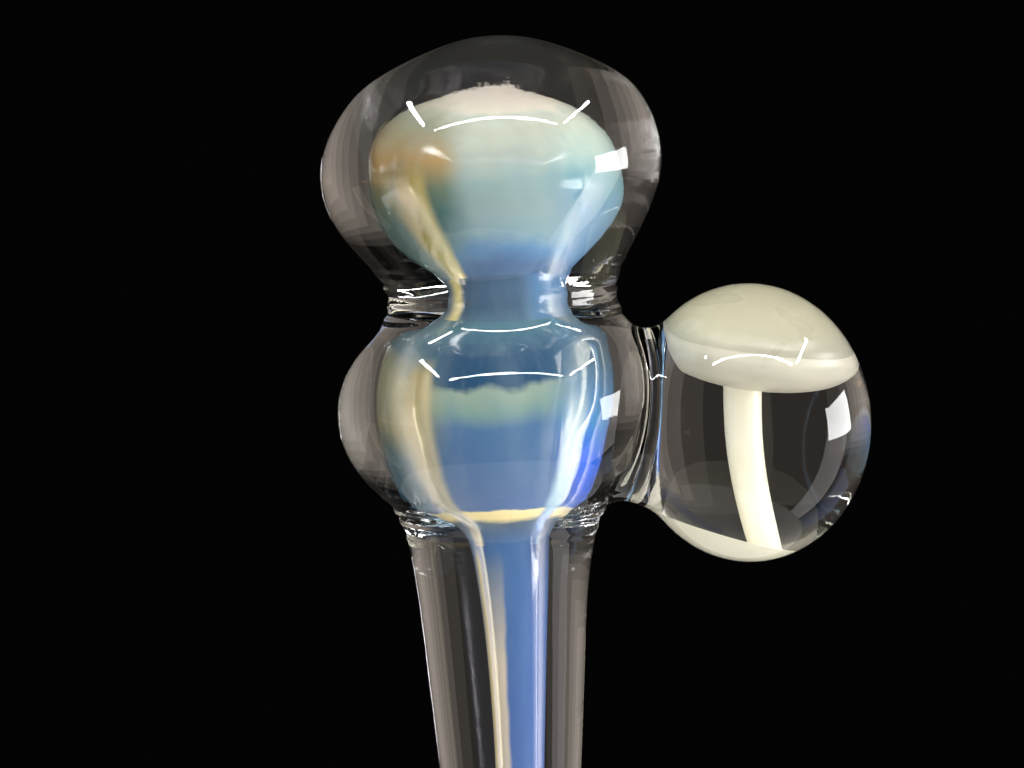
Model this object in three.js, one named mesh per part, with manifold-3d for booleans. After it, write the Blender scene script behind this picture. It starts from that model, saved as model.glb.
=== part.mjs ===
// A lampworked glass wand: a heavy clear casing with two bulbs and a tapering stem, a fumed hollow core
// inside it, and a clear marble with a glass mushroom welded to the side of the lower bulb.
// Millimetres, +Z up. The origin is the centre of the stem's open end, and the marble is towards +X.
import * as THREE from "three";
import { mergeVertices } from "three/addons/utils/BufferGeometryUtils.js";
import Module from "manifold-3d";

const wasm = await Module();
wasm.setup();

// Driving dimensions
const GAP = 0.3; // between neighbouring pieces
const ROOM = 0.4; // between the core and the casing round it
const CORE_WALL = 0.6; // thickness of the fumed inner tube
const TOP = 117.2; // crown of the upper bulb
const UPPER_EQUATOR = 102; // widest level of the upper bulb
const WAIST = 85.8; // narrowest level of the neck
const LOWER_EQUATOR = 72.6; // widest level of the lower bulb
const SHOULDER = 59; // where the lower bulb has run into the stem
const CORE_TOP = 106.4; // crown of the upper bubble
const LIP_TOP = 3; // upper end of the rolled lip at the stem's mouth
const MARBLE = new THREE.Vector3(30.1, 0, 70); // centre of the marble
const MARBLE_RADII = new THREE.Vector3(14.6, 14.6, 16.75);
const WELD = new THREE.Vector3(17.5, 0, 71); // centre of the weld between bulb and marble
const WELD_RADII = new THREE.Vector3(7, 9.6, 10.6);
const CAP_TILT = 9; // degrees, the cap's left side up
const CAP_SEAM = 8.4; // level of the seam between the cap and its underside, above the marble's centre
const BASE_TILT = 15; // degrees, the base turned towards the lower bulb
const BASE_RADIUS = 8; // of the bowl-shaped base
const BASE_MIDDLE = -14.9; // level of the bowl's middle, from the marble's centre
const BASE_RISE = 1.7; // from the bowl's middle to its rim
const STALK_RADIUS = 1.5;
const CASING_SIDES = 28;
const CORE_SIDES = 24;
const MUSHROOM_SIDES = 20;

// Outlines of the clear casing and of the core inside it, as heights and radii
const CASING = [
  [-1, 7.3],
  [2.2, 7.4],
  [8, 7.2],
  [30, 8.65],
  [48, 10.1],
  [55, 10.9],
  [SHOULDER, 11.9],
  [62, 13.5],
  [65, 16.5],
  [69, 18.85],
  [LOWER_EQUATOR, 19.55],
  [76, 19.2],
  [79, 17.9],
  [82.5, 15],
  [WAIST, 13.7],
  [88.5, 14.2],
  [92.1, 16.5],
  [96.4, 19.1],
  [UPPER_EQUATOR, 20.3],
  [107.9, 18.5],
  [112.2, 14.8],
  [115.1, 9.1],
  [TOP, 0],
];
const CORE = [
  [0, 2],
  [30, 2],
  [56, 3.15],
  [60, 3.6],
  [62, 4.6],
  [65, 6.5],
  [69, 8.5],
  [73.5, 9.8],
  [77.5, 9.2],
  [80.5, 6.9],
  [83, 5.3],
  [WAIST, 4.95],
  [91, 5.2],
  [94.5, 7],
  [97.8, 9.3],
  [101, 10.4],
  [103.4, 9.2],
  [105, 7],
  [106, 4],
  [CORE_TOP, 0],
];
// How far casing and core wander off the straight axis towards +X, as heights and offsets
const CASING_DRIFT = [
  [0, 0],
  [30, 0],
  [55, -0.1],
  [LOWER_EQUATOR, 0.4],
  [WAIST, 1.1],
  [96, 0],
  [104, 0.5],
  [114, 1.4],
  [TOP, 1.4],
];
const CORE_DRIFT = [
  [0, 0],
  [30, 0.75],
  [55, 0.65],
  [62, 0.3],
  [66, -0.25],
  [70, -0.4],
  [79, 0.9],
  [WAIST, 1.5],
  [100, 0.7],
  [CORE_TOP, 0.7],
];

// Mushroom outlines, as radii and levels above the marble's centre
const UNDERSIDE = [
  [0, 3.2],
  [3.6, 3.5],
  [6.6, 4.3],
  [8.7, 5.7],
  [9.5, 7.2],
  [9.4, CAP_SEAM - GAP],
];
const DOME = [
  [9.4, CAP_SEAM],
  [8.9, 9.4],
  [7.9, 10.5],
  [6.2, 11.5],
  [3.5, 12.3],
  [0, 12.55],
];
const STALK = [
  [-0.4, 6],
  [-0.45, 0],
  [0.3, -7],
  [1.1, -11],
  [1.9, -15.5],
];

// A smooth function through [height, value] pairs
function smooth(pairs) {
  const heights = pairs.map(([height]) => height);
  const values = pairs.map(([, value]) => value);
  const curve = new THREE.CubicInterpolant(heights, values, 1, new Float64Array(1));
  return (z) => curve.evaluate(THREE.MathUtils.clamp(z, heights[0], heights.at(-1)))[0];
}

// The radius at a height. The squares are what is interpolated, so that a crown comes out round.
function outline(pairs) {
  const square = smooth(pairs.map(([height, radius]) => [height, radius * radius]));
  return (z) => Math.sqrt(Math.max(square(z), 0));
}

const casingRadius = outline(CASING);
const coreRadius = outline(CORE);
const casingDrift = smooth(CASING_DRIFT);
const coreDrift = smooth(CORE_DRIFT);

// Levels from low to high. Towards a crown they crowd together, so that the facets stay even.
function levels(low, high, count, crown = false) {
  const share = (i) => (crown ? Math.sin((i / count) * (Math.PI / 2)) : i / count);
  return Array.from({ length: count + 1 }, (_, i) => low + (high - low) * share(i));
}

function wall(radius, heights, extra = 0) {
  return heights.map((z) => new THREE.Vector2(radius(z) + extra, z));
}

// A wall moved outwards by a distance, square to itself. Its crown stays on the axis.
function grown(points, distance) {
  return points.map((point, i) => {
    const along = points[Math.min(i + 1, points.length - 1)].clone();
    along.sub(points[Math.max(i - 1, 0)]).normalize();
    const r = point.x === 0 ? 0 : point.x + distance * along.y;
    return new THREE.Vector2(r, point.y - distance * along.x);
  });
}

function onAxis(point) {
  return new THREE.Vector2(0, point.y);
}

// A profile turned about Z. A profile that doesn't start and end on the axis is closed on itself.
function turned(profile, sides) {
  const points = profile[0].x === 0 ? profile : [...profile, profile[0]];
  return new THREE.LatheGeometry(points, sides).rotateX(Math.PI / 2);
}

// Each point moves towards +X by what drift gives at its height
function drifted(geometry, drift) {
  const position = geometry.getAttribute("position");
  for (let i = 0; i < position.count; i++) {
    position.setX(i, position.getX(i) + drift(position.getZ(i)));
  }
  return geometry;
}

function ellipsoid(centre, radii, sides) {
  const { x, y, z } = centre;
  const ball = new THREE.SphereGeometry(1, sides, sides / 2).rotateX(Math.PI / 2);
  return ball.scale(radii.x, radii.y, radii.z).translate(x, y, z);
}

// Everything on one side of the weld's plane: side is 1 for the marble's side and -1 for the bulb's
function weldSide(side) {
  const size = 60;
  const middle = WELD.x + side * (size / 2 - GAP / 2);
  return new THREE.BoxGeometry(size, size, size).translate(middle, 0, WELD.z);
}

function solid(geometry) {
  const bare = new THREE.BufferGeometry();
  bare.setAttribute("position", geometry.getAttribute("position"));
  if (geometry.index) bare.setIndex(geometry.index);
  const merged = mergeVertices(bare, 1e-4);
  const vertProperties = new Float32Array(merged.getAttribute("position").array);
  const triVerts = new Uint32Array(merged.index.array);
  return new wasm.Manifold(new wasm.Mesh({ numProp: 3, vertProperties, triVerts }));
}

function geometryOf(manifold) {
  const { vertProperties, triVerts } = manifold.getMesh();
  const geometry = new THREE.BufferGeometry();
  geometry.setAttribute("position", new THREE.BufferAttribute(vertProperties, 3));
  geometry.setIndex(new THREE.BufferAttribute(triVerts, 1));
  return geometry.toNonIndexed();
}

function cut(geometry, ...tools) {
  const left = tools.reduce((body, tool) => body.subtract(solid(tool)), solid(geometry));
  return geometryOf(left);
}

// Clear casing

// The room that the core takes, from below the mouth up to over the crown
function coreRoom() {
  const stemPart = wall(coreRadius, levels(-2, 58, 4));
  const bubblePart = wall(coreRadius, levels(60, 98, 19));
  const crownPart = wall(coreRadius, levels(99, CORE_TOP, 6, true));
  const profile = grown([...stemPart, ...bubblePart, ...crownPart], ROOM);
  return drifted(turned([onAxis(profile[0]), ...profile], CASING_SIDES), coreDrift);
}

// The casing between two levels, with the core's room cut out of its middle
function casingSection(low, high, steps, ...tools) {
  const outside = wall(casingRadius, levels(low, high, steps, high === TOP));
  const ends = [onAxis(outside[0]), onAxis(outside.at(-1))];
  const profile = high === TOP ? [ends[0], ...outside] : [ends[0], ...outside, ends[1]];
  const block = drifted(turned(profile, CASING_SIDES), casingDrift);
  return cut(block, coreRoom(), ...tools);
}

// The mouth is a rolled bead, round outside and inside
function stemLip() {
  const bore = coreRadius(0) + ROOM;
  const outer = casingRadius(LIP_TOP) + 0.3;
  const round = 1.1;
  const corner = (x, z, from) =>
    Array.from({ length: 4 }, (_, i) => {
      const angle = from + (i / 3) * (Math.PI / 2);
      return new THREE.Vector2(x + round * Math.cos(angle), z + round * Math.sin(angle));
    });
  const profile = [
    ...corner(bore + round, round, Math.PI),
    ...corner(outer - round, round, 1.5 * Math.PI),
    new THREE.Vector2(casingRadius(LIP_TOP), LIP_TOP),
    new THREE.Vector2(bore, LIP_TOP),
  ];
  return turned(profile, CASING_SIDES);
}

// Fumed core

function coreTube(low, high, steps) {
  const heights = levels(low, high, steps);
  const outside = wall(coreRadius, heights);
  const inside = wall(coreRadius, heights, -CORE_WALL);
  return drifted(turned([...outside, ...inside.reverse()], CORE_SIDES), coreDrift);
}

function upperCore(low) {
  const outside = wall(coreRadius, levels(low, CORE_TOP, 10, true));
  const inside = grown(outside, -CORE_WALL);
  inside[0].y = low;
  return drifted(turned([...inside.reverse(), ...outside], CORE_SIDES), coreDrift);
}

// Mushroom, each piece turned about its own axis and tilted about the marble's centre.
// With grow above zero, the same pieces are the room that they take in the marble.

function tilted(geometry, degrees) {
  const { x, y, z } = MARBLE;
  return geometry.rotateY(THREE.MathUtils.degToRad(degrees)).translate(x, y, z);
}

function curve(pairs, steps) {
  return new THREE.SplineCurve(pairs.map(([r, z]) => new THREE.Vector2(r, z))).getPoints(steps);
}

function cap(grow = 0) {
  const [edge, ...dome] = grown(curve(DOME, 8), grow);
  edge.y = CAP_SEAM - grow;
  return tilted(turned([onAxis(edge), edge, ...dome], MUSHROOM_SIDES), CAP_TILT);
}

function capUnderside(grow = 0) {
  const under = grown(curve(UNDERSIDE, 9), grow);
  const edge = under.at(-1);
  edge.y = CAP_SEAM - GAP + grow;
  return tilted(turned([...under, onAxis(edge)], MUSHROOM_SIDES), CAP_TILT);
}

function stalk(grow = 0) {
  const path = new THREE.CatmullRomCurve3(STALK.map(([x, z]) => new THREE.Vector3(x, 0, z)));
  const section = new THREE.Shape().absarc(0, 0, STALK_RADIUS + grow, 0, 2 * Math.PI);
  const rod = new THREE.ExtrudeGeometry(section, { steps: 9, curveSegments: 8, extrudePath: path });
  return rod.translate(MARBLE.x, MARBLE.y, MARBLE.z);
}

// A bowl, hollow above, that runs out through the marble's bottom
function base(grow = 0) {
  const steps = 6;
  const below = -MARBLE_RADII.z - 2;
  const hollow = Array.from({ length: steps + 1 }, (_, i) => {
    const share = 1 - i / steps;
    const r = i === steps ? 0 : BASE_RADIUS * share + grow;
    return new THREE.Vector2(r, BASE_MIDDLE + BASE_RISE * share ** 2 + grow);
  });
  const foot = new THREE.Vector2(BASE_RADIUS + grow, below);
  return tilted(turned([onAxis(foot), foot, ...hollow], MUSHROOM_SIDES), BASE_TILT);
}

function mushroomStalk() {
  return cut(stalk(), capUnderside(GAP), base(GAP));
}

function mushroomBase() {
  const inside = solid(ellipsoid(MARBLE, MARBLE_RADII, 24));
  return geometryOf(solid(base()).intersect(inside));
}

// Marble

function marble() {
  const room = [cap(GAP), capUnderside(GAP), stalk(GAP), base(GAP)];
  return cut(ellipsoid(MARBLE, MARBLE_RADII, 24), weldSide(-1), ...room);
}

// The bead of glass round the weld, filling the corner between bulb and marble
function marbleFoot() {
  const heights = levels(WELD.z - 12, WELD.z + 12, 14);
  const ends = [new THREE.Vector2(0, heights[0]), new THREE.Vector2(0, heights.at(-1))];
  const profile = [ends[0], ...wall(casingRadius, heights, GAP), ends[1]];
  const bulb = drifted(turned(profile, CASING_SIDES), casingDrift);
  const ball = ellipsoid(MARBLE, MARBLE_RADII.clone().addScalar(GAP), 24);
  return cut(ellipsoid(WELD, WELD_RADII, 24), bulb, ball);
}

// Materials: colour, roughness, metalness
const clear = [0xdfe3e2, 0.05, 0];
const teal = [0x8fb0b4, 0.25, 0.3];
const slate = [0x5f7fa6, 0.25, 0.3];
const blue = [0x4a6aa8, 0.25, 0.3];
const cream = [0xe2dcc0, 0.35, 0];
const white = [0xdedbd3, 0.35, 0];

const LEVELS = { neck: 88.8, lowerBulb: 82.3, shoulder: 62.1, stem: 55.2 };
const CORE_LEVELS = { neck: 91, lowerBulb: 82.8, stem: 58 };
const CORE_END = 1.5; // the core stops short of the mouth

const pieces = {
  upper_bulb: [casingSection(LEVELS.neck, TOP, 10), clear],
  neck_ring: [casingSection(LEVELS.lowerBulb, LEVELS.neck - GAP, 4), clear],
  lower_bulb: [casingSection(LEVELS.shoulder, LEVELS.lowerBulb - GAP, 10, weldSide(1)), clear],
  shoulder_ring: [casingSection(LEVELS.stem, LEVELS.shoulder - GAP, 4), clear],
  stem: [casingSection(LIP_TOP + GAP, LEVELS.stem - GAP, 4), clear],
  stem_lip: [stemLip(), clear],
  upper_core: [upperCore(CORE_LEVELS.neck), teal],
  neck_core: [coreTube(CORE_LEVELS.lowerBulb, CORE_LEVELS.neck - GAP, 4), slate],
  lower_core: [coreTube(CORE_LEVELS.stem, CORE_LEVELS.lowerBulb - GAP, 12), blue],
  stem_core: [coreTube(CORE_END, CORE_LEVELS.stem - GAP, 6), blue],
  marble: [marble(), clear],
  marble_foot: [marbleFoot(), clear],
  mushroom_cap: [cap(), cream],
  cap_underside: [capUnderside(), white],
  mushroom_stalk: [mushroomStalk(), cream],
  mushroom_base: [mushroomBase(), cream],
};

const wand = new THREE.Group();
for (const [name, [geometry, [color, roughness, metalness]]] of Object.entries(pieces)) {
  const mesh = new THREE.Mesh(geometry, new THREE.MeshStandardMaterial({ color, roughness, metalness }));
  mesh.name = name;
  wand.add(mesh);
}

export default wand;
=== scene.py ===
"""A lampworked glass wand: clear casing, fumed inner tube and a marble with a mushroom in it.

Lengths in this file are millimetres in the row frame until a mesh is written, which is in metres.
"""
import math

import bpy
import numpy as np
from mathutils import Matrix, Quaternion, Vector


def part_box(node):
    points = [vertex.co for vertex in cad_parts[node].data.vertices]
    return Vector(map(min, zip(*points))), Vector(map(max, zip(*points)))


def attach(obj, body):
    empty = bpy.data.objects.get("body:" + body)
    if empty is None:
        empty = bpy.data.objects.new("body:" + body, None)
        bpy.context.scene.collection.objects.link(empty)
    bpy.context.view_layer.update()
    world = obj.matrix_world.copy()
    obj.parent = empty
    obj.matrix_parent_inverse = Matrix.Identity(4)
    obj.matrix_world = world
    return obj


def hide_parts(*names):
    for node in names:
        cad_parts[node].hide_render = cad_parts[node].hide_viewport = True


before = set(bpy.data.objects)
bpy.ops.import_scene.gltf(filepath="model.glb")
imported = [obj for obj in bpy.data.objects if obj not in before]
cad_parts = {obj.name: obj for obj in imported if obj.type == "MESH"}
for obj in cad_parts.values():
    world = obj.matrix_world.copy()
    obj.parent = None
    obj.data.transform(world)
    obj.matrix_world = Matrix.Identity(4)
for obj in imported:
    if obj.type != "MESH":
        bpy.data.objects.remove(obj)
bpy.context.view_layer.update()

MM = 0.001
IOR = 1.47          # borosilicate glass

CASING_NODES = ["stem_lip", "stem", "shoulder_ring", "lower_bulb", "neck_ring", "upper_bulb"]
CORE_NODES = ["stem_core", "lower_core", "neck_core", "upper_core"]


# ---------------------------------------------------------------- profiles from the CAD nodes

def node_box(name):
    """A CAD node's lowest and highest corners in mm."""
    low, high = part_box(name)
    return np.array(low) / MM, np.array(high) / MM


ON_AXIS = 0.004      # how near y = 0 a vertex counts as being on the outline's left side
FACING = 0.02        # how far a face leans outwards to be on the outside
NARROWEST = 1.5      # rings thinner than this belong to the closed tops


def outer_rings(names):
    """The outside rings of turned CAD nodes, as rows of (z, radius, centre x) in mm."""
    left, side = {}, {}
    for name in names:
        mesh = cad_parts[name].data
        for face in mesh.polygons:
            for index in face.vertices:
                x, y, z = (c / MM for c in mesh.vertices[index].co)
                key = round(z, 2)
                if abs(y) < ON_AXIS and x < 0 and face.normal.x < -FACING:
                    left[key] = min(x, left.get(key, 0))
                if y > 0 and face.normal.y > FACING:
                    side[key] = max(y, side.get(key, 0))
    rows = [(z, side[z], left[z] + side[z]) for z in sorted(left) if z in side]
    return [row for row in rows if row[1] > NARROWEST]


def spline(points):
    """A natural cubic through (x, y) pairs: a function giving the value and the slope."""
    x, y = (np.array(c, float) for c in zip(*sorted(points)))
    n, h = len(x), np.diff(x)
    a, b = np.eye(n), np.zeros(n)
    for i in range(1, n - 1):
        a[i, i - 1:i + 2] = h[i - 1], 2 * (h[i - 1] + h[i]), h[i]
        b[i] = 6 * ((y[i + 1] - y[i]) / h[i] - (y[i] - y[i - 1]) / h[i - 1])
    m = np.linalg.solve(a, b)

    def at(q):
        q = np.asarray(q, float)
        i = np.clip(np.searchsorted(x, q) - 1, 0, n - 2)
        t = np.clip(q, x[0], x[-1])
        after, before, step = x[i + 1] - t, t - x[i], h[i]
        low, high = y[i] / step - m[i] * step / 6, y[i + 1] / step - m[i + 1] * step / 6
        value = (m[i] * after ** 3 + m[i + 1] * before ** 3) / (6 * step) + low * after + high * before
        slope = (m[i + 1] * before ** 2 - m[i] * after ** 2) / (2 * step) - low + high
        return value + slope * (q - t), slope
    return at


def thinned(rows, step):
    """Rows at least step apart in z, so that the cubic has no near-equal knots."""
    kept = [rows[0]]
    for row in rows[1:]:
        if row[0] - kept[-1][0] >= step:
            kept.append(row)
    return kept


def area_of(rows, top):
    """The squared radius as a cubic in z, falling to nothing at the top."""
    return spline([(row[0], row[1] ** 2) for row in rows] + [(top, 0)])


def inset(rows, area, depth):
    """The same rings moved inwards by depth along the surface's normal."""
    moved = []
    for z, r, c in rows:
        lean = float(area(z)[1]) / (2 * r)
        length = math.hypot(1, lean)
        moved.append((z + depth * lean / length, r - depth / length, c))
    return moved


RING_STEP = 0.5
DRIFT_RADIUS = 6    # the casing's centre line is taken from rings wider than this
SKIN = 0.3          # how deep the inner tube sits in the glass bore, so that the two are in contact
CORE_WALL = 0.6
TOP = node_box("upper_bulb")[1][2]
CORE_TOP = node_box("upper_core")[1][2]
CASING_ROWS = thinned(outer_rings(CASING_NODES), RING_STEP)
CORE_ROWS = thinned(outer_rings(CORE_NODES), RING_STEP)
CASING_AREA = area_of(CASING_ROWS, TOP)
CASING_DRIFT = spline([(z, c) for z, r, c in CASING_ROWS if r > DRIFT_RADIUS])
CORE_AREA = area_of(CORE_ROWS, CORE_TOP)
CORE_DRIFT = spline([(z, c) for z, r, c in CORE_ROWS])
BORE_AREA = area_of(inset(CORE_ROWS, CORE_AREA, SKIN), CORE_TOP - SKIN)
INNER_AREA = area_of(inset(CORE_ROWS, CORE_AREA, CORE_WALL), CORE_TOP - CORE_WALL)

MARBLE_STRETCH = 1.147      # the marble's height over its width
MARBLE_LOW, MARBLE_HIGH = node_box("marble")
MARBLE_R = (MARBLE_HIGH[1] - MARBLE_LOW[1]) / 2
MARBLE_RADII = np.array((MARBLE_R, MARBLE_R, MARBLE_STRETCH * MARBLE_R))
MARBLE = np.array((MARBLE_HIGH[0] - MARBLE_R, 0, MARBLE_HIGH[2] - MARBLE_RADII[2]))
FOOT = MARBLE + (-13.3, 0, 1.0)
FOOT_RADII = np.array((7.0, 9.0, 10.0))


# ---------------------------------------------------------------- meshes

SHARP = 50          # degrees between faces from which an edge shows


def finished(name, verts, faces):
    """A mesh object from mm coordinates."""
    mesh = bpy.data.meshes.new(name)
    mesh.from_pydata([tuple(v) for v in np.asarray(verts) * MM], [], faces)
    mesh.validate()
    mesh.polygons.foreach_set("use_smooth", [True] * len(mesh.polygons))
    mesh.set_sharp_from_angle(angle=math.radians(SHARP))
    obj = bpy.data.objects.new(name, mesh)
    bpy.context.scene.collection.objects.link(obj)
    return obj


def ring(z, radius, centre, count):
    turn = np.linspace(0, 2 * math.pi, count, endpoint=False)
    return np.stack([centre + radius * np.cos(turn), radius * np.sin(turn), np.full(count, z)], 1)


def skinned(name, rings, tips=(None, None), closed=False):
    """A surface over rings of equal count, ended by tip points, or closed into a loop of rings."""
    count = len(rings[0])
    verts = list(np.concatenate(rings))
    faces = []
    total = len(rings)
    for i in range(total if closed else total - 1):
        a, b = i * count, ((i + 1) % total) * count
        for k in range(count):
            n = (k + 1) % count
            faces.append((a + k, a + n, b + n, b + k))
    for tip, start, flip in ((tips[0], 0, True), (tips[1], (total - 1) * count, False)):
        if tip is None:
            continue
        verts.append(np.array(tip, float))
        for k in range(count):
            pair = (start + k, start + (k + 1) % count)
            faces.append((*(pair[::-1] if flip else pair), len(verts) - 1))
    return finished(name, verts, faces)


def spaced(low, high, rows):
    """Heights from low to high, closer together at both ends."""
    return low + (high - low) * (1 - np.cos(np.linspace(0, math.pi, rows))) / 2


def radius_at(area, z):
    return np.sqrt(np.maximum(area(z)[0], 1e-4))


# ---------------------------------------------------------------- the glass body as a signed field

def ellipsoid_field(p, centre, radii):
    d = (p - centre) / radii
    k = np.linalg.norm(d, axis=1)
    g = np.linalg.norm(d / radii, axis=1)
    return k * (k - 1) / np.maximum(g, 1e-6)


def blended(a, b, reach):
    """The smaller of two fields, rounded where they meet."""
    h = np.clip(0.5 + 0.5 * (b - a) / reach, 0, 1)
    return b * (1 - h) + a * h - reach * h * (1 - h)


def turned_field(p, area, drift):
    q, slope = area(p[:, 2])
    rho = np.sqrt((p[:, 0] - drift(p[:, 2])[0]) ** 2 + p[:, 1] ** 2)
    return (rho ** 2 - q) / np.sqrt(4 * rho ** 2 + slope ** 2 + 1e-3)


WELD = 3.0           # fillets in mm: the foot and the marble, the bore and the mouth
BORE_FILLET = 0.8
MOUTH_FILLET = 1.2

RIDGES = [           # height, reach and depth of the pinched rings, with their pitch
    (86.6, 3.4, 0.16, 1.9),
    (60.4, 2.6, 0.15, 1.7),
]


def ridge_height(p):
    """Small tool marks round the neck and the shoulder."""
    turn = np.arctan2(p[:, 1], p[:, 0])
    total = np.zeros(len(p))
    for height, reach, depth, pitch in RIDGES:
        lean = 0.5 * np.sin(turn + height) + 0.25 * np.sin(2 * turn + 2 * height)
        wave = np.sin(2 * math.pi * (p[:, 2] + lean) / pitch) + 0.5 * np.sin(
            2 * math.pi * (p[:, 2] - lean) / (0.62 * pitch) + 1)
        total += depth * wave * np.exp(-((p[:, 2] - height) / reach) ** 4)
    return total * np.cos(turn) ** 4


def outside_field(p):
    body = turned_field(p, CASING_AREA, CASING_DRIFT) - ridge_height(p)
    with_foot = blended(body, ellipsoid_field(p, FOOT, FOOT_RADII), WELD)
    return blended(with_foot, ellipsoid_field(p, MARBLE, MARBLE_RADII), WELD)


def glass_field(p):
    bore = turned_field(p, BORE_AREA, CORE_DRIFT)
    walled = -blended(-outside_field(p), bore, BORE_FILLET)
    return -blended(-walled, p[:, 2], MOUTH_FILLET)


def gradient(field, p, probe=0.01):
    return np.stack([(field(p + e) - field(p - e)) / (2 * probe) for e in np.eye(3) * probe], 1)


def settled(obj, field, rounds=8, reach=0.6):
    """Moves a mesh's vertices onto the zero surface of a field, and takes their normals from it."""
    mesh = obj.data
    flat = np.zeros(len(mesh.vertices) * 3)
    mesh.vertices.foreach_get("co", flat)
    p = flat.reshape(-1, 3) / MM
    for _ in range(rounds):
        d = field(p)
        g = gradient(field, p)
        step = (d / np.maximum((g ** 2).sum(1), 0.2))[:, None] * g
        length = np.linalg.norm(step, axis=1, keepdims=True)
        p = p - step * np.minimum(1, reach / np.maximum(length, 1e-9))
    mesh.vertices.foreach_set("co", (p * MM).ravel())
    mesh.polygons.foreach_set("use_smooth", [True] * len(mesh.polygons))
    mesh.update()
    g = gradient(field, p)
    mesh.normals_split_custom_set_from_vertices(g / np.linalg.norm(g, axis=1, keepdims=True))


def ellipsoid(name, centre, radii, columns=64):
    angles = np.linspace(-math.pi / 2, math.pi / 2, columns // 2 + 1)[1:-1]
    rings = [ring(math.sin(a), math.cos(a), 0, columns) * radii + centre for a in angles]
    ends = [np.array((0, 0, s)) * radii + centre for s in (-1, 1)]
    return skinned(name, rings, ends)


def glass_body(voxel):
    """The clear glass: bulbs, neck, stem, foot and marble in one piece, with the bore open at the mouth."""
    columns = 96
    rows = [ring(z, radius_at(BORE_AREA, z), CORE_DRIFT(z)[0], columns)
            for z in spaced(0, CORE_TOP - SKIN - 0.01, 90)[::-1]]
    rows += [ring(z, radius_at(CASING_AREA, z), CASING_DRIFT(z)[0], columns)
             for z in spaced(0, TOP - 0.02, 100)]
    tips = ((CORE_DRIFT(CORE_TOP)[0], 0, CORE_TOP - SKIN), (CASING_DRIFT(TOP)[0], 0, TOP))
    wand = skinned("glass_body", rows, tips)
    others = [ellipsoid("marble_start", MARBLE, MARBLE_RADII), ellipsoid("foot_start", FOOT, FOOT_RADII)]
    bpy.ops.object.select_all(action="DESELECT")
    for obj in (wand, *others):
        obj.select_set(True)
    bpy.context.view_layer.objects.active = wand
    bpy.ops.object.join()
    remesh = wand.modifiers.new("remesh", "REMESH")
    remesh.mode = "VOXEL"
    remesh.voxel_size = voxel * MM
    bpy.ops.object.modifier_apply(modifier="remesh")
    settled(wand, glass_field)
    return wand


# ---------------------------------------------------------------- node materials

class Graph:
    """A material's node tree, with short calls for the nodes used here."""

    def __init__(self, name):
        self.material = bpy.data.materials.new(name)
        self.material.use_nodes = True
        self.tree = self.material.node_tree
        self.shader = self.tree.nodes["Principled BSDF"]
        self.output = self.tree.nodes["Material Output"]
        self.place = self.node("ShaderNodeTexCoord").outputs["Object"]
        split = self.node("ShaderNodeSeparateXYZ", {0: self.place})
        self.x, self.y, self.z = split.outputs

    def node(self, kind, inputs=None, **settings):
        made = self.tree.nodes.new(kind)
        for key, value in settings.items():
            setattr(made, key, value)
        for key, value in (inputs or {}).items():
            self.put(made.inputs[key], value)
        return made

    def put(self, socket, value):
        if isinstance(value, bpy.types.NodeSocket):
            self.tree.links.new(value, socket)
        elif isinstance(value, (tuple, list)) and len(value) == 3 and socket.type == "RGBA":
            socket.default_value = (*value, 1)
        else:
            socket.default_value = value

    def maths(self, operation, a, b=0.0, c=0.0):
        return self.node("ShaderNodeMath", {0: a, 1: b, 2: c}, operation=operation).outputs[0]

    def span(self, value, low, high, start=0.0, end=1.0, smooth=True):
        """value taken from low..high to start..end, held at both ends."""
        kind = "SMOOTHSTEP" if smooth else "LINEAR"
        made = self.node("ShaderNodeMapRange", {0: value, 1: low, 2: high, 3: start, 4: end},
                         interpolation_type=kind)
        return made.outputs[0]

    def noise(self, scale, detail=2.0, roughness=0.5, distortion=0.0, stretch=(1, 1, 1)):
        """Noise at scale features per millimetre, stretched along an axis by less than 1."""
        moved = self.node("ShaderNodeMapping", {
            "Vector": self.place, "Scale": tuple(s * scale / MM for s in stretch)})
        made = self.node("ShaderNodeTexNoise", {
            "Vector": moved.outputs[0], "Scale": 1.0, "Detail": detail, "Roughness": roughness,
            "Distortion": distortion})
        return made.outputs["Fac"]

    def ramp(self, value, stops, low=0.0, high=1.0):
        """A colour ramp over low..high, with stops given in those units."""
        made = self.node("ShaderNodeValToRGB", {0: self.span(value, low, high, smooth=False)})
        ramp = made.color_ramp
        while len(ramp.elements) > 1:
            ramp.elements.remove(ramp.elements[0])
        ramp.elements[0].position = (stops[0][0] - low) / (high - low)
        ramp.elements[0].color = (*stops[0][1], 1)
        for at, colour in stops[1:]:
            element = ramp.elements.new((at - low) / (high - low))
            element.color = (*colour, 1)
        return made.outputs[0]

    def mixed(self, factor, a, b):
        made = self.node("ShaderNodeMix", data_type="RGBA", blend_type="MIX")
        self.put(made.inputs[0], factor)
        self.put(made.inputs[6], a)
        self.put(made.inputs[7], b)
        return made.outputs[2]

    def bump(self, height, strength, distance):
        return self.node("ShaderNodeBump", {
            "Strength": strength, "Distance": distance * MM, "Height": height}).outputs[0]

    def set(self, **values):
        """Values on the shader's own sockets, with _ for a space in the socket's name."""
        for key, value in values.items():
            self.put(self.shader.inputs[key.replace("_", " ")], value)


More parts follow.
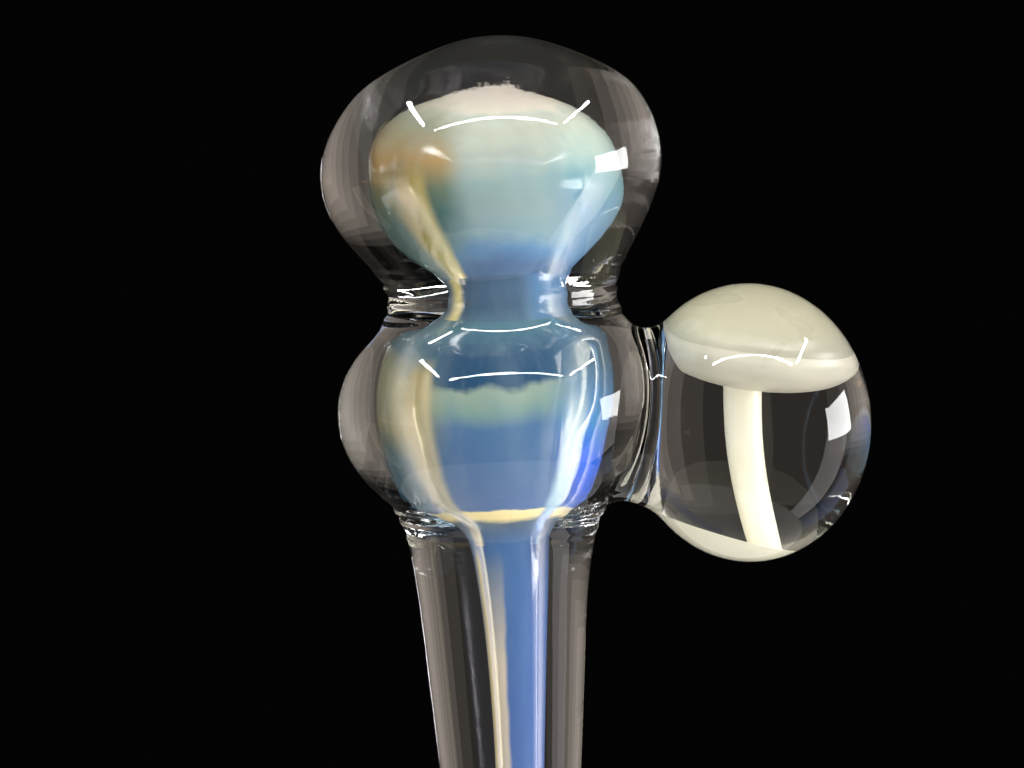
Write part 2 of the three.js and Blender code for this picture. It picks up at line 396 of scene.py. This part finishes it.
def clear_glass():
    """Clear glass with faint heat streaks, through which shadow and diffuse rays pass unbent."""
    g = Graph("clear_glass")
    streaks = g.noise(0.35, 2, 0.5, 0.4, (0.25, 0.25, 3.0))
    heat = g.noise(0.10, 3, 0.55)
    g.set(Base_Color=g.ramp(heat, [(0.3, (0.985, 0.985, 0.985)), (0.7, (0.96, 0.965, 0.955))]),
          Roughness=g.span(heat, 0.45, 0.75, 0.0, 0.015),
          Normal=g.bump(streaks, 0.04, 0.2))
    g.set(Transmission_Weight=1.0, IOR=IOR)
    path = g.node("ShaderNodeLightPath")
    through = g.node("ShaderNodeBsdfTransparent")
    lit = g.node("ShaderNodeMixShader", {0: path.outputs["Is Shadow Ray"], 1: g.shader.outputs[0],
                                         2: through.outputs[0]})
    out = g.node("ShaderNodeMixShader", {0: path.outputs["Is Diffuse Ray"], 1: lit.outputs[0],
                                         2: through.outputs[0]})
    g.put(g.output.inputs[0], out.outputs[0])
    return g.material


VEIL = (0.40, 0.50, 0.50)           # thin pale streaks over the fume
SMOKE = (0.06, 0.14, 0.28)          # and its darker clouds
BARE = (0.004, 0.004, 0.006)        # glass without fume, through which the dark room shows
RIGHT_EDGE = 0.45, 0.85             # where the right side's colours begin and are full, as parts of the reach
REFLECTION_SWAY = 0.15                    # how much the clouds push a painted lamp reflection sideways, as a sine
REFLECTION_LEFT, REFLECTION_RIGHT = 0.06, 0.05  # half the width of its soft left and right sides
BARE_HEIGHT = 103.0, 104.6
BARE_EDGE = -0.1, 0.4               # the bare patch begins this far behind the middle, in mm,
BARE_LEAN, BARE_BOW = -0.10, -0.03  # on a line that leans and bends with x


def reflection_mask(g, cloud, bottom, top, first, last, fade):
    """Where a painted lamp reflection lies, as a lengthwise stripe between two sines of the turn about the
    core's centre line.
    """
    centre = g.span(g.z, bottom * MM, top * MM, CORE_DRIFT(bottom)[0] * MM, CORE_DRIFT(top)[0] * MM,
                    smooth=False)
    across = g.maths("SUBTRACT", g.x, centre)
    length = g.maths("SQRT", g.maths("MULTIPLY_ADD", across, across, g.maths("MULTIPLY", g.y, g.y)))
    side = g.maths("MULTIPLY_ADD", g.maths("SUBTRACT", cloud, 0.5), REFLECTION_SWAY,
                   g.maths("DIVIDE", across, length))
    mask = g.maths("MULTIPLY", g.span(side, first - REFLECTION_LEFT, first + REFLECTION_LEFT),
                   g.span(side, last - REFLECTION_RIGHT, last + REFLECTION_RIGHT, 1.0, 0.0))
    return g.maths("MULTIPLY", mask, g.span(g.z, fade[0] * MM, fade[1] * MM, 1.0, 0.0))


def bare_mask(g):
    """The ragged patch without fume behind the crown."""
    ragged = g.maths("MULTIPLY_ADD", g.noise(0.9, 3, 0.7), 1.6 * MM, -0.8 * MM)
    bowed = g.maths("MULTIPLY", g.maths("MULTIPLY", g.x, g.x), BARE_BOW / MM)
    slanted = g.maths("ADD", g.maths("MULTIPLY_ADD", g.x, BARE_LEAN, g.y), bowed)
    near, far = (y * MM for y in BARE_EDGE)
    low, high = (z * MM for z in BARE_HEIGHT)
    return g.maths("MULTIPLY", g.span(g.maths("ADD", slanted, ragged), near, far), g.span(g.z, low, high))


def fume(name, middle, left, right, reach, reflections, crown=False, left_edge=(0.40, 0.80)):
    """The fumed lining over a hollow, which mirrors at a slant: colours by height, clouded and streaked.

    middle, left and right are the colour stops of the middle and of the two sides, and reach is the
    half width over which they change; the sides' stops hold painted side light. left_edge is where the left
    side's colours begin and are full, as parts of the reach. reflections are painted lamp reflections laid as
    lengthwise stripes: their colour stops, their left and right sides as sines of the turn, and the heights
    between which they fade out at the top. A crown has a bare patch.
    """
    g = Graph(name)
    cloud = g.noise(0.09, 3, 0.55, 0.3)
    streak = g.noise(0.30, 3, 0.6, 0.5, (1, 1, 0.12))
    wander = g.maths("MULTIPLY_ADD", cloud, 3.2 * MM, -1.6 * MM)
    ripple = g.maths("MULTIPLY_ADD", g.noise(0.6, 3, 0.6), 0.8 * MM, -0.4 * MM)
    height = g.maths("ADD", g.maths("ADD", g.z, wander), ripple)
    sway = g.maths("MULTIPLY_ADD", g.maths("SUBTRACT", cloud, 0.5), 0.3 * reach * MM, g.x)

    def layers(stops):
        low, high = stops[0][0] * MM, stops[-1][0] * MM
        return g.ramp(height, [(z * MM, c) for z, c in stops], low, high)

    # the sides' colours carry painted side light: warmer on the left, bluer on the right
    near, far = (-share * reach * MM for share in left_edge)
    colour = g.mixed(g.span(sway, near, far), layers(middle), layers(left))
    near, far = (share * reach * MM for share in RIGHT_EDGE)
    colour = g.mixed(g.span(sway, near, far), colour, layers(right))
    # the lamps' reflections, painted as stripes over the fume
    for stops, first, last, fade in reflections:
        reflected = reflection_mask(g, cloud, stops[0][0], stops[-1][0], first, last, fade)
        colour = g.mixed(reflected, colour, layers(stops))
    colour = g.mixed(g.span(streak, 0.35, 0.75, 0.0, 0.12), colour, VEIL)
    colour = g.mixed(g.span(cloud, 0.3, 0.7, 0.15, 0.0), colour, SMOKE)
    if crown:
        colour = g.mixed(bare_mask(g), colour, BARE)
    g.set(Base_Color=colour,
          Roughness=g.span(streak, 0.3, 0.8, 0.05, 0.12),
          Normal=g.bump(g.noise(0.15, 2, 0.5, 0.2, (1, 1, 0.3)), 0.06, 0.2))
    # seen from inside the glass the bubble is the thinner medium, so it mirrors fully at a slant
    g.set(IOR=1 / IOR, Specular_Tint=(0.2, 0.2, 0.2))
    return g.material


def opaque_glass(name, light, dark, low=None):
    """Cloudy opaque glass, darkened towards its bottom by painted shade: it turns to the low colour between
    two heights in mm, where it is given.
    """
    g = Graph(name)
    cloud = g.noise(0.12, 3, 0.5, 0.3)
    fine = g.noise(0.8, 2, 0.5)
    colour = g.ramp(cloud, [(0.3, dark), (0.7, light)])
    colour = g.mixed(g.span(fine, 0.4, 0.8, 0, 0.15), colour, dark)
    if low:
        # painted shade: the low colour below bottom, fading to the glass's own colour at top
        shade, bottom, top = low
        colour = g.mixed(g.span(g.z, bottom * MM, top * MM), shade, colour)
    g.set(Base_Color=colour,
          Roughness=g.span(cloud, 0.3, 0.7, 0.25, 0.40),
          Normal=g.bump(cloud, 0.1, 0.3))
    return g.material


# ---------------------------------------------------------------- pieces

def place(obj, material, slot, *nodes):
    obj.data.materials.clear()
    obj.data.materials.append(material)
    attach(obj, "root")
    if nodes:
        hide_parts(*nodes)


def core_piece(name, low, high, closed_top=False, columns=128, pitch=0.35):
    """A length of the fumed tube between two heights, with its bore."""
    rows = max(8, int((high - low) / pitch))
    if closed_top:
        rise = np.sin(np.linspace(0, math.pi / 2, rows))
        outer = [ring(z, radius_at(CORE_AREA, z), CORE_DRIFT(z)[0], columns)
                 for z in low + (high - 0.01 - low) * rise]
        roof = high - CORE_WALL
        inner = [ring(z, radius_at(INNER_AREA, z), CORE_DRIFT(z)[0], columns)
                 for z in low + (roof - 0.01 - low) * rise[::-1]]
        centre = CORE_DRIFT(high)[0]
        # from the inner roof down to the mouth, then up the outside to the crown
        return skinned(name, inner + outer, ((centre, 0, roof), (centre, 0, high)))
    heights = np.linspace(low, high, rows)
    outer = [ring(z, radius_at(CORE_AREA, z), CORE_DRIFT(z)[0], columns) for z in heights]
    inner = [ring(z, radius_at(INNER_AREA, z), CORE_DRIFT(z)[0], columns) for z in heights[::-1]]
    return skinned(name, outer + inner, closed=True)


def lathe(name, profile, tilt, columns=96):
    """A closed turned solid about the marble's centre, from (radius, height) pairs going up."""
    lean = np.array(Matrix.Rotation(math.radians(tilt), 3, "Y"))
    rings = [ring(z, r, 0, columns) @ lean.T + MARBLE for r, z in profile[1:-1]]
    ends = [np.array((0, 0, profile[i][1])) @ lean.T + MARBLE for i in (0, -1)]
    return skinned(name, rings, ends)


def smooth_profile(points, parts=8):
    """Points along a Catmull-Rom curve through (radius, height) pairs."""
    pts = [np.array(p, float) for p in points]
    pts = [2 * pts[0] - pts[1]] + pts + [2 * pts[-1] - pts[-2]]
    out = []
    for a, b, c, d in zip(pts, pts[1:], pts[2:], pts[3:]):
        for t in np.linspace(0, 1, parts, endpoint=False):
            out.append(0.5 * (2 * b + (c - a) * t + (2 * a - 5 * b + 4 * c - d) * t * t
                              + (3 * b - 3 * c + d - a) * t ** 3))
    out.append(pts[-2])
    return out


VOXEL = 0.5
place(glass_body(VOXEL), clear_glass(), "clear_glass", "upper_bulb", "neck_ring", "lower_bulb",
      "shoulder_ring", "stem", "stem_lip", "marble_foot", "marble")

# the fume's colours as (height in mm, colour) stops: in the middle, on the two sides and in the painted lamp
# reflections.
# The sides' stops are the fume's own colour with painted side light, warmer on the left and bluer on the
# right.
# The pale grey-green stops over the upper half of each bulb, in UPPER from 95.6 mm and in LOWER from 73.6 to
# 75.2 mm with the sharp dark step at 75.8 mm, are fume colour partly painted with a reflection of the
# horizon.
UPPER = [(88.0, (0.06, 0.11, 0.18)), (92.5, (0.08, 0.15, 0.28)), (94.2, (0.12, 0.26, 0.45)),
         (95.6, (0.30, 0.44, 0.46)), (97.5, (0.34, 0.44, 0.42)), (100.5, (0.26, 0.36, 0.34)),
         (102.8, (0.38, 0.41, 0.34)), (104.4, (0.56, 0.58, 0.45)), (105.2, (0.68, 0.72, 0.60)),
         (105.6, (0.98, 0.88, 0.70)), (107.0, (0.98, 0.84, 0.72))]
NECK = [(82.0, (0.08, 0.13, 0.17)), (85.0, (0.06, 0.10, 0.15)), (92.0, (0.06, 0.11, 0.18))]
LOWER = [(58.0, (0.06, 0.13, 0.29)), (61.7, (0.08, 0.12, 0.17)), (62.6, (0.95, 0.76, 0.34)),
         (64.1, (0.98, 0.82, 0.42)), (64.4, (0.09, 0.16, 0.34)), (66.0, (0.09, 0.16, 0.32)),
         (72.0, (0.08, 0.16, 0.29)), (73.6, (0.18, 0.28, 0.25)), (75.2, (0.25, 0.32, 0.25)),
         (75.8, (0.02, 0.06, 0.12)), (78.0, (0.03, 0.07, 0.13)), (81.5, (0.08, 0.16, 0.18)),
         (84.0, (0.08, 0.13, 0.17))]
STEM = [(0.0, (0.07, 0.13, 0.32)), (30.0, (0.08, 0.14, 0.34)), (58.0, (0.06, 0.13, 0.29))]
UPPER_LEFT = [(88.0, (0.10, 0.16, 0.18)), (93.4, (0.12, 0.21, 0.18)), (98.0, (0.07, 0.15, 0.12)),
              (100.0, (0.14, 0.17, 0.08)), (102.0, (0.40, 0.24, 0.06)), (104.5, (0.38, 0.38, 0.24)),
              (106.5, (0.90, 0.78, 0.60))]
UPPER_RIGHT = [(88.0, (0.08, 0.15, 0.26)), (94.0, (0.12, 0.26, 0.44)), (97.5, (0.14, 0.28, 0.42)),
               (101.0, (0.20, 0.36, 0.38)), (104.0, (0.60, 0.68, 0.54)), (106.0, (0.95, 0.92, 0.74))]
LOWER_LEFT = [(58.0, (0.10, 0.15, 0.22)), (66.0, (0.05, 0.14, 0.18)), (69.5, (0.05, 0.13, 0.17)),
              (71.5, (0.28, 0.26, 0.12)), (74.8, (0.36, 0.34, 0.18)), (76.8, (0.12, 0.19, 0.20)),
              (84.0, (0.14, 0.22, 0.25))]
LOWER_RIGHT = [(58.0, (0.06, 0.12, 0.30)), (62.0, (0.04, 0.10, 0.45)), (64.0, (0.01, 0.08, 0.80)),
               (69.5, (0.02, 0.14, 0.85)), (72.0, (0.10, 0.30, 0.60)), (76.0, (0.12, 0.20, 0.26)),
               (84.0, (0.10, 0.18, 0.26))]
NECK_LEFT = [(82.0, (0.12, 0.19, 0.23)), (92.0, (0.12, 0.18, 0.20))]
NECK_RIGHT = [(82.0, (0.11, 0.20, 0.30)), (92.0, (0.10, 0.20, 0.36))]
STEM_LEFT = [(0.0, (0.58, 0.51, 0.40)), (43.0, (0.56, 0.48, 0.37)), (54.0, (0.16, 0.20, 0.27)),
             (57.0, (0.06, 0.13, 0.29))]
# Painted lamp reflections, laid over the fume as stripes: a yellow one on the left of each part with a paler
# one beside it, and the window's on the lower bulb's right.
UPPER_LAMP_REFLECTION = [(88.0, (0.56, 0.47, 0.15)), (94.5, (0.42, 0.36, 0.08)), (98.0, (0.30, 0.22, 0.01)),
              (101.0, (0.38, 0.23, 0.02))]
UPPER_PALE_REFLECTION = [(88.0, (0.68, 0.58, 0.24)), (94.5, (0.62, 0.55, 0.24)), (98.0, (0.56, 0.46, 0.16)),
               (101.0, (0.50, 0.36, 0.09))]
NECK_LAMP_REFLECTION = [(82.0, (0.66, 0.57, 0.24)), (92.0, (0.72, 0.60, 0.22))]
LOWER_LAMP_REFLECTION = [(60.0, (0.34, 0.31, 0.22)), (68.0, (0.36, 0.33, 0.22)), (71.5, (0.36, 0.30, 0.12)),
              (76.0, (0.32, 0.26, 0.10))]
LOWER_PALE_REFLECTION = [(60.0, (0.48, 0.44, 0.34)), (68.0, (0.50, 0.45, 0.32)), (76.0, (0.55, 0.47, 0.27))]
LOWER_WINDOW_REFLECTION = [(62.0, (0.12, 0.20, 0.40)), (65.0, (0.40, 0.58, 0.70)), (72.0, (0.50, 0.62, 0.66)),
               (76.0, (0.40, 0.46, 0.42))]
STEM_LAMP_REFLECTION = [(0.0, (0.60, 0.46, 0.06)), (58.0, (0.56, 0.45, 0.16))]
STEM_RIGHT = [(0.0, (0.09, 0.14, 0.42)), (58.0, (0.07, 0.13, 0.30))]

CORE_SPLITS = {name: (node_box(name)[0][2], node_box(name)[1][2]) for name in CORE_NODES}


def between(lower, upper):
    """The height where one core node ends and the next begins."""
    return (CORE_SPLITS[lower][1] + CORE_SPLITS[upper][0]) / 2


STEM_TO_LOWER = between("stem_core", "lower_core")
LOWER_TO_NECK = between("lower_core", "neck_core")
NECK_TO_UPPER = between("neck_core", "upper_core")
CORE_LOW = CORE_SPLITS["stem_core"][0]
STEM_REACH = 3.0    # half the width over which the stem's colours change


def half_width(name):
    """Half of a CAD node's width from left to right, in mm."""
    low, high = node_box(name)
    return (high[0] - low[0]) / 2


# each painted lamp reflection is its stops, its left and right sides, and the heights between which it fades
# out
STEM_REFLECTIONS = [(STEM_LAMP_REFLECTION, -0.95, -0.86, (55.0, 58.0))]
LOWER_REFLECTIONS = [(LOWER_LAMP_REFLECTION, -0.86, -0.70, (75.6, 77.6)), (LOWER_PALE_REFLECTION, -0.75, -0.66, (75.6, 77.6)),
                 (LOWER_WINDOW_REFLECTION, 0.66, 0.84, (72.0, 76.0))]
NECK_REFLECTIONS = [(NECK_LAMP_REFLECTION, -0.93, -0.79, (94.0, 96.0))]
UPPER_REFLECTIONS = [(UPPER_LAMP_REFLECTION, -0.90, -0.72, (100.2, 102.4)), (UPPER_PALE_REFLECTION, -0.76, -0.66, (100.2, 102.4))]

place(core_piece("core_stem", CORE_LOW, STEM_TO_LOWER),
      fume("fume_stem", STEM, STEM_LEFT, STEM_RIGHT, STEM_REACH, STEM_REFLECTIONS,
           left_edge=(-0.07, 0.08)),
      "fumed_stem", "stem_core")
place(core_piece("core_lower", STEM_TO_LOWER, LOWER_TO_NECK),
      fume("fume_lower", LOWER, LOWER_LEFT, LOWER_RIGHT, half_width("lower_core"), LOWER_REFLECTIONS),
      "fumed_lower", "lower_core")
place(core_piece("core_neck", LOWER_TO_NECK, NECK_TO_UPPER),
      fume("fume_neck", NECK, NECK_LEFT, NECK_RIGHT, half_width("neck_core"), NECK_REFLECTIONS),
      "fumed_neck", "neck_core")
place(core_piece("core_upper", NECK_TO_UPPER, CORE_TOP, closed_top=True),
      fume("fume_upper", UPPER, UPPER_LEFT, UPPER_RIGHT, half_width("upper_core"), UPPER_REFLECTIONS,
           crown=True, left_edge=(0.15, 0.50)),
      "fumed_upper", "upper_core")

# the cap's lower part is darkened by painted shade between 77 and 86 mm
cream = opaque_glass("cream_glass", (0.88, 0.82, 0.55), (0.82, 0.76, 0.51),
                     low=((0.36, 0.34, 0.26), 77, 86))
# a brightened copy of the cream glass for the pad: painted light in place of light from below
pad_cream_brightened = opaque_glass("pad_cream_brightened_glass", (0.97, 0.92, 0.70), (0.92, 0.86, 0.64))
# a greyer copy of the white glass, for the cap's underside
greyed_white = opaque_glass("greyed_white_glass", (0.66, 0.61, 0.47), (0.54, 0.51, 0.41))
white = opaque_glass("white_glass", (0.95, 0.90, 0.72), (0.88, 0.82, 0.60))

# the mushroom in mm from the marble's centre: (radius, height) outlines, and (x, height) for the stalk
CAP_TILT, BASE_TILT = 9, 15
CAP_SEAM = 8.4
UNDERSIDE = [(0, 3.2), (3.6, 3.5), (6.6, 4.3), (8.7, 5.7), (9.5, 7.2), (9.38, CAP_SEAM)]
DOME = [(9.36, CAP_SEAM), (8.9, 9.4), (7.9, 10.5), (6.2, 11.5), (3.5, 12.3), (0, 12.55)]
place(lathe("mushroom_cap", [(0, 7.9), (5.0, 7.9), (9.1, 8.1)] + smooth_profile(DOME), CAP_TILT),
      cream, "cream_glass", "mushroom_cap")
place(lathe("cap_underside", smooth_profile(UNDERSIDE) + [(8.5, 8.6), (5.0, 8.3), (0, 8.3)], CAP_TILT),
      greyed_white, "white_glass", "cap_underside")

STALK = [(1.8, -14.7), (1.1, -11.5), (0.4, -8.0), (-0.2, -4.0), (-0.45, 0.0), (-0.4, 4.2)]
STALK_LINE = spline([(z, x) for x, z in STALK])
STALK_LOW, STALK_HIGH = STALK[0][1], STALK[-1][1]
STALK_RADII = 1.32, 1.60


def mushroom_stalk(rows=48, columns=40):
    """A round stalk that follows the leaning line and widens towards the cap."""
    rings = []
    for z in np.linspace(STALK_LOW, STALK_HIGH, rows):
        radius = np.interp(z, (STALK_LOW, STALK_HIGH), STALK_RADII)
        rings.append(ring(0, radius, 0, columns) + MARBLE + (STALK_LINE(z)[0], 0, z))
    return skinned("mushroom_stalk", rings, [MARBLE + (x, 0, z) for x, z in (STALK[0], STALK[-1])])


place(mushroom_stalk(), white, "white_glass", "mushroom_stalk")

PAD_RADIUS, PAD_INSIDE = 8.6, 8.2
PAD_RIM = -12.9                     # height of the rim's top
PAD_MIDDLE, PAD_RISE = -14.9, 1.7   # height of the hollow's middle, and how far its edge stands above it
PAD_CURVE = 14.2, 16.3              # radii of the ellipse that the underside follows
IN_MARBLE = 0.965                   # how much of the marble's radii the pad may reach


def base_pad():
    """The pad on which the stalk stands: a thin bowl that follows the inside of the marble's bottom."""
    steps = np.linspace(0, 1, 14)
    wide, deep = PAD_CURVE
    outer = [(PAD_RADIUS * t, -deep * math.sqrt(1 - (PAD_RADIUS * t / wide) ** 2)) for t in steps]
    inner = [(PAD_INSIDE * t, PAD_MIDDLE + PAD_RISE * t ** 2) for t in steps[::-1]]
    pad = lathe("mushroom_base", outer + [(PAD_RADIUS, PAD_RIM)] + inner, BASE_TILT)
    mesh = pad.data
    for v in mesh.vertices:
        d = (np.array(v.co) / MM - MARBLE) / MARBLE_RADII
        k = np.linalg.norm(d)
        if k > IN_MARBLE:
            v.co = Vector((MARBLE + d / k * IN_MARBLE * MARBLE_RADII) * MM)
    mesh.update()
    return pad


place(base_pad(), pad_cream_brightened, "cream_glass", "mushroom_base")


# ---------------------------------------------------------------- camera, lights, surroundings

ELEVATION, ROLL = 5.0, 2.1
AIM = Vector((1.85, 0, 75.7)) * MM
DISTANCE = 0.3
VIEW_WIDTH = 122.88 * MM    # across the picture at AIM
SENSOR = 36
BACK = Vector((0, -math.cos(math.radians(ELEVATION)), math.sin(math.radians(ELEVATION))))
RIGHT = Vector((1, 0, 0))
UP = BACK.cross(RIGHT)

camera_data = bpy.data.cameras.new("camera")
camera = bpy.data.objects.new("camera", camera_data)
bpy.context.scene.collection.objects.link(camera)
camera.location = AIM + BACK * DISTANCE
camera.rotation_mode = "QUATERNION"
camera.rotation_quaternion = (-BACK).to_track_quat("-Z", "Y") @ Quaternion((0, 0, 1), math.radians(-ROLL))
camera_data.sensor_width = SENSOR
camera_data.lens = SENSOR * DISTANCE / VIEW_WIDTH
camera_data.clip_start = 0.01
camera_data.clip_end = 20
bpy.context.scene.camera = camera


def lamp(name, centre, along, across, radiance, colour=(1, 1, 1)):
    """A flat soft lamp facing AIM. centre, along and across are (right, up, front) in metres from AIM."""
    def turned(v):
        return RIGHT * v[0] + UP * v[1] + BACK * v[2]
    a, b = turned(along), turned(across)
    facing = turned(centre)
    z_axis = a.cross(b).normalized()
    if z_axis.dot(facing) < 0:
        z_axis = -z_axis
        a = -a
    data = bpy.data.lights.new(name, "AREA")
    data.shape = "RECTANGLE"
    data.size, data.size_y = a.length, b.length
    data.energy = radiance * math.pi * a.length * b.length
    data.color = colour
    obj = bpy.data.objects.new(name, data)
    bpy.context.scene.collection.objects.link(obj)
    x_axis = a.normalized()
    matrix = Matrix((x_axis, z_axis.cross(x_axis), z_axis)).transposed().to_4x4()
    matrix.translation = AIM + facing
    obj.matrix_world = matrix
    return obj


WHITE = (1.0, 1.0, 1.0)
STRIP_HEIGHT = 0.9
STRIP_RADIANCE = 55
THIN = 0.026


def strip(name, start, end, across):
    """A thin ceiling strip, its ends given as (right, front) over a height of one, for gloss and glass."""
    middle = [(a + b) / 2 * STRIP_HEIGHT for a, b in zip(start, end)]
    along = [(b - a) * STRIP_HEIGHT for a, b in zip(start, end)]
    made = lamp(name, (middle[0], STRIP_HEIGHT, middle[1]), (along[0], 0, along[1]), across,
                STRIP_RADIANCE)
    made.visible_diffuse = False


strip("strip_front", (-0.83, 0.82), (1.05, 0.93), (0, THIN, -THIN))
strip("strip_left", (-0.73, -0.10), (-0.86, 0.57), (THIN, THIN, 0))
strip("strip_right", (1.03, 0.00), (1.15, 0.82), (-THIN, THIN, 0))


def panel(name, azimuth, span, low, high, radiance, colour, distance=0.9, lean=0.0):
    """A tall lit panel to one side: azimuth from the camera's side, heights as elevations, in degrees."""
    mid = math.radians(azimuth)
    centre_dir = Vector((math.sin(mid), 0, math.cos(mid)))
    tangent = Vector((math.cos(mid), math.tan(math.radians(lean)), -math.sin(mid)))
    width = 2 * distance * math.tan(math.radians(span / 2))
    bottom, top = (distance * math.tan(math.radians(a)) for a in (low, high))
    centre = centre_dir * distance + Vector((0, (bottom + top) / 2, 0))
    return lamp(name, centre, tangent.normalized() * width, Vector((0, top - bottom, 0)), radiance, colour)


def soft(*values):
    """A panel that lights the matt surfaces, and that neither gloss nor glass shows."""
    made = panel(*values)
    made.visible_glossy = False
    made.visible_transmission = False


# The walls behind, lit most near the sides, are nested panels. They begin at the near azimuths, and each
# step gives a far end in degrees, a loss of height at each end, and a radiance.
WALL_STEPS = [(180, 0, 0.026), (160, 2, 0.02), (152, 4, 0.04), (146, 6, 0.05), (141, 9, 0.04),
              (136, 12, 0.05), (131, 15, 0.08), (126, 18, 0.06)]
WALL_COLOUR = (1.0, 0.87, 0.76)
NEAR_LEFT, NEAR_RIGHT = 103, 107
WALL_LOW, WALL_HIGH = -56, 26
LEFT_HIGH = 12                  # the left wall is lower, apart from its dimmest step, and its
BEHIND, BEHIND_LOW = 138, -24   # brighter steps that end behind this azimuth stop at this elevation
panel("side_left", -101, 9, -40, -4, 0.5, (1.0, 0.90, 0.60))
panel("amber_streak", -78, 34, -6, -3, 0.7, (1.0, 0.50, 0.15), lean=-12)
panel("side_right", 86, 26, -62, -4, 1.5, (1.0, 0.95, 0.98))
for far, drop, radiance in WALL_STEPS:
    dimmest = far == WALL_STEPS[0][0]
    low = BEHIND_LOW if far > BEHIND and not dimmest else WALL_LOW + drop
    high = WALL_HIGH if dimmest else LEFT_HIGH - drop
    panel("wall_left", -(NEAR_LEFT + far) / 2, far - NEAR_LEFT, low, high, radiance, WALL_COLOUR)
    panel("wall_right", (NEAR_RIGHT + far) / 2, far - NEAR_RIGHT, WALL_LOW + drop, WALL_HIGH - drop,
          radiance, WALL_COLOUR)
panel("wall_right_low", 116, 26, -60, -22, 0.5, (0.35, 0.55, 1.0))
panel("window", 88, 30, -10, 8, 15.0, WHITE, lean=14)
soft("soft_front", 0, 110, -55, 35, 1.5, (0.98, 0.99, 1.0), 0.7)
soft("soft_top", 0, 90, 38, 74, 4.6, WHITE, 0.5)
soft("soft_back", 180, 110, -35, 35, 1.0, WHITE, 0.7)


FLOOR_RADIUS = 72.0
FLOOR_TOP, FLOOR_BOTTOM = -0.2, -6.0
FLOOR_BEVEL, FLOOR_EDGE = 1.0, 0.8  # the rim's slopes, below and above


def pale_floor():
    """A small round table top under the stem's mouth, with a fine matt grain."""
    g = Graph("pale_floor")
    grain = g.noise(0.5, 4, 0.6)
    g.set(Base_Color=g.ramp(grain, [(0.3, (0.62, 0.61, 0.59)), (0.7, (0.68, 0.67, 0.65))]),
          Roughness=g.span(grain, 0.2, 0.8, 0.6, 0.8),
          Normal=g.bump(grain, 0.1, 0.1))
    outline = ((FLOOR_BOTTOM, FLOOR_RADIUS - FLOOR_BEVEL), (FLOOR_BOTTOM + FLOOR_BEVEL, FLOOR_RADIUS),
               (FLOOR_TOP - FLOOR_EDGE, FLOOR_RADIUS), (FLOOR_TOP, FLOOR_RADIUS - FLOOR_EDGE))
    floor = skinned("floor", [ring(z, r, 0, 160) for z, r in outline],
                    ((0, 0, FLOOR_BOTTOM), (0, 0, FLOOR_TOP)))
    floor.data.materials.append(g.material)


pale_floor()

world = bpy.data.worlds.new("dark_room")
bpy.context.scene.world = world
world.use_nodes = True
world.node_tree.nodes["Background"].inputs[0].default_value = (0.001, 0.001, 0.001, 1)
bpy.context.scene.view_settings.view_transform = "Standard"
